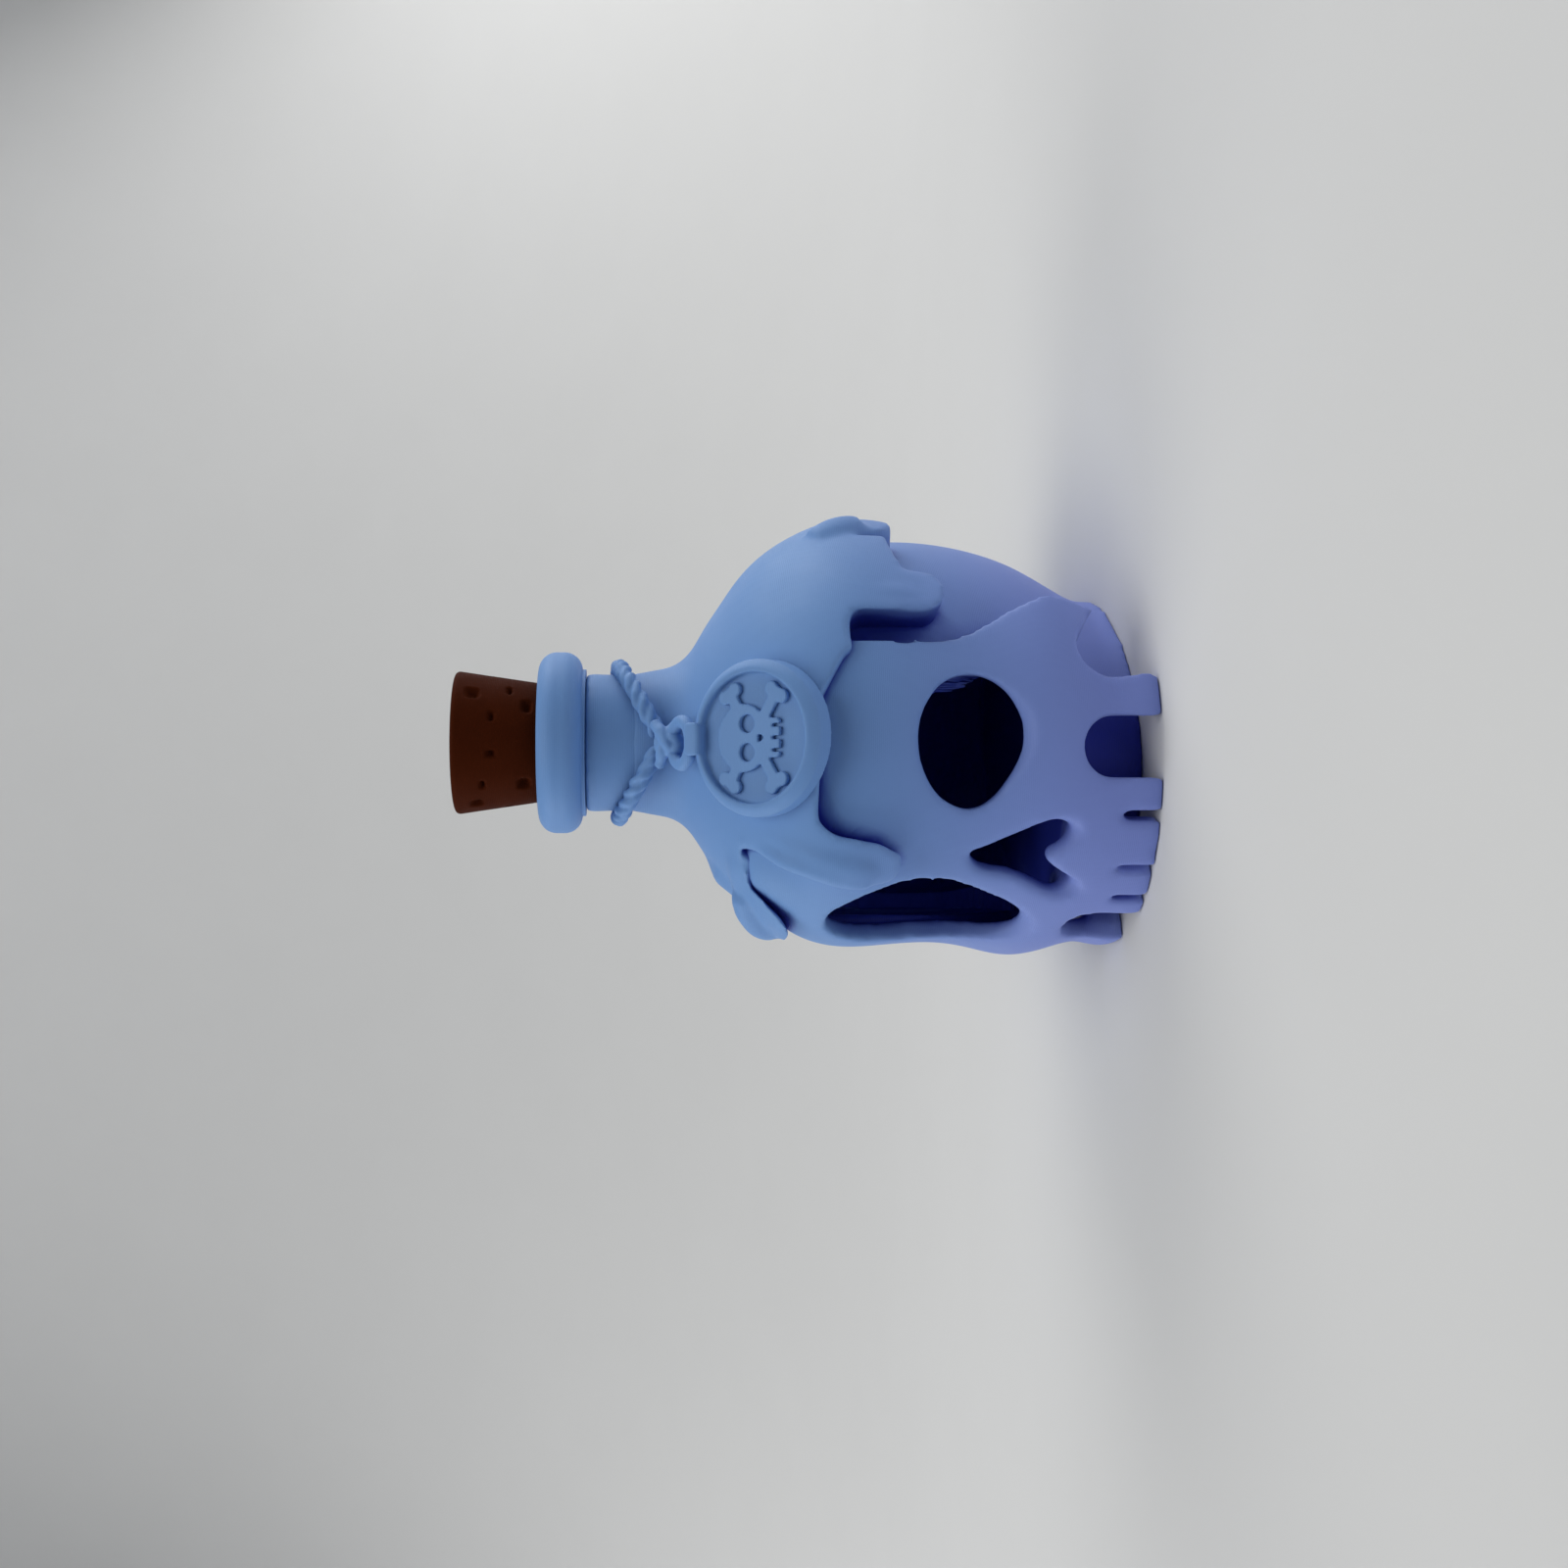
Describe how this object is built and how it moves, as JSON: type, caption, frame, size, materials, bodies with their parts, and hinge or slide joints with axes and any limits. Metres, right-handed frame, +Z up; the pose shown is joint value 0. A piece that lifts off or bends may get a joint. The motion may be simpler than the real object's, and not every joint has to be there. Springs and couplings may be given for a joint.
{
  "type": "skull poison bottle",
  "caption": "Skull-shaped poison bottle with a slime coat, a rope with a round medallion, and a tapered cork that pulls out of the lip.",
  "frame": {"origin": "on the neck's axis at floor level, in the flat base", "axes": "+Z up along the neck towards the cork, -Y the way the skull looks, +X towards the skull's left"},
  "size_m": [0.05, 0.0561, 0.0754],
  "materials": {
    "bottle_print": "matte, with fine print layers",
    "cork_print": "matte, with fine print layers"
  },
  "bodies": {
    "bottle": {"bottle_flask": "bottle_print", "bottle_lip": "bottle_print", "skull_face": "bottle_print", "side_tooth_right": "bottle_print", "front_tooth_1": "bottle_print", "front_tooth_2": "bottle_print", "front_tooth_3": "bottle_print", "front_tooth_4": "bottle_print", "side_tooth_left": "bottle_print", "drip_coat": "bottle_print", "neck_rope": "bottle_print", "rope_knot": "bottle_print", "hanging_ring": "bottle_print", "rim_clasp": "bottle_print", "medallion_disc": "bottle_print", "medallion_rim": "bottle_print", "medallion_emblem": "bottle_print"},
    "stopper": {"cork": "cork_print"}
  },
  "joints": [
    {"name": "cork_pull", "type": "slide", "parent": "bottle", "child": "stopper", "axis": [0, 0, 1], "range_m": [0, 0.012]}
  ]
}
